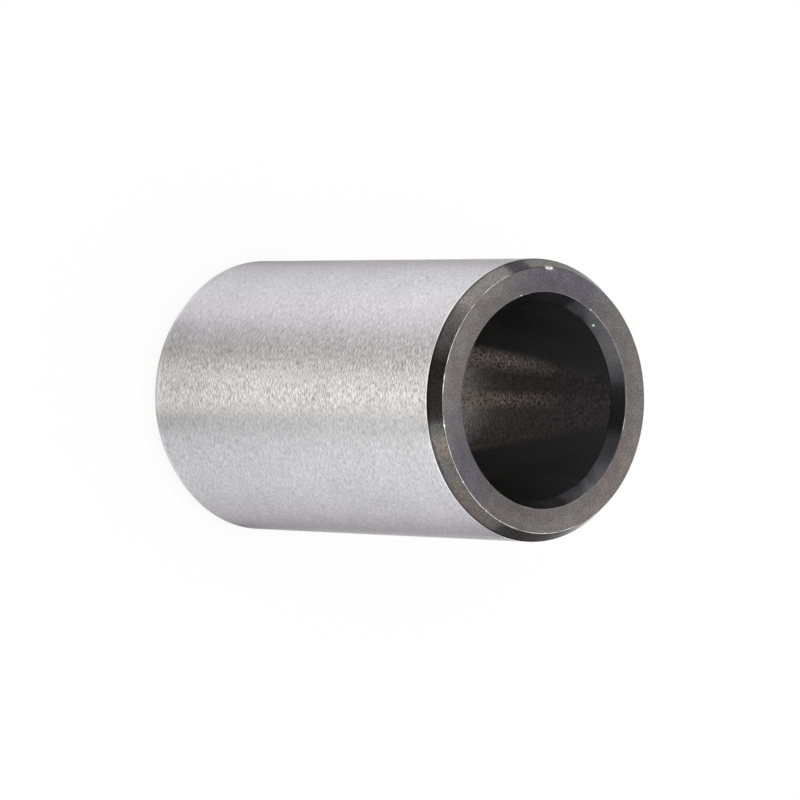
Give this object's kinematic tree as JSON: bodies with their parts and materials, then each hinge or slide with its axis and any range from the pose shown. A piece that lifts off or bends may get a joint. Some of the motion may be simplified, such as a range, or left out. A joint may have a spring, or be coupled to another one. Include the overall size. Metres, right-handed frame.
{
  "type": "pulley boss",
  "caption": "Plain hardened steel sleeve with a ground outside and chamfered ends that slips over a crankshaft and carries a sliding pulley half.",
  "frame": {"origin": "centre of the lower end face, on the sleeve's axis, where it stands on its end", "axes": "+Z along the sleeve's axis towards its upper end face; X and Y are free, because the sleeve is round"},
  "size_m": [0.024, 0.024, 0.0396],
  "materials": {
    "ground_steel": "hardened steel, ground bright on the outside and left dark from heat treatment on the chamfers, end faces and bore"
  },
  "bodies": {
    "root": {"boss": "ground_steel"}
  },
  "joints": []
}
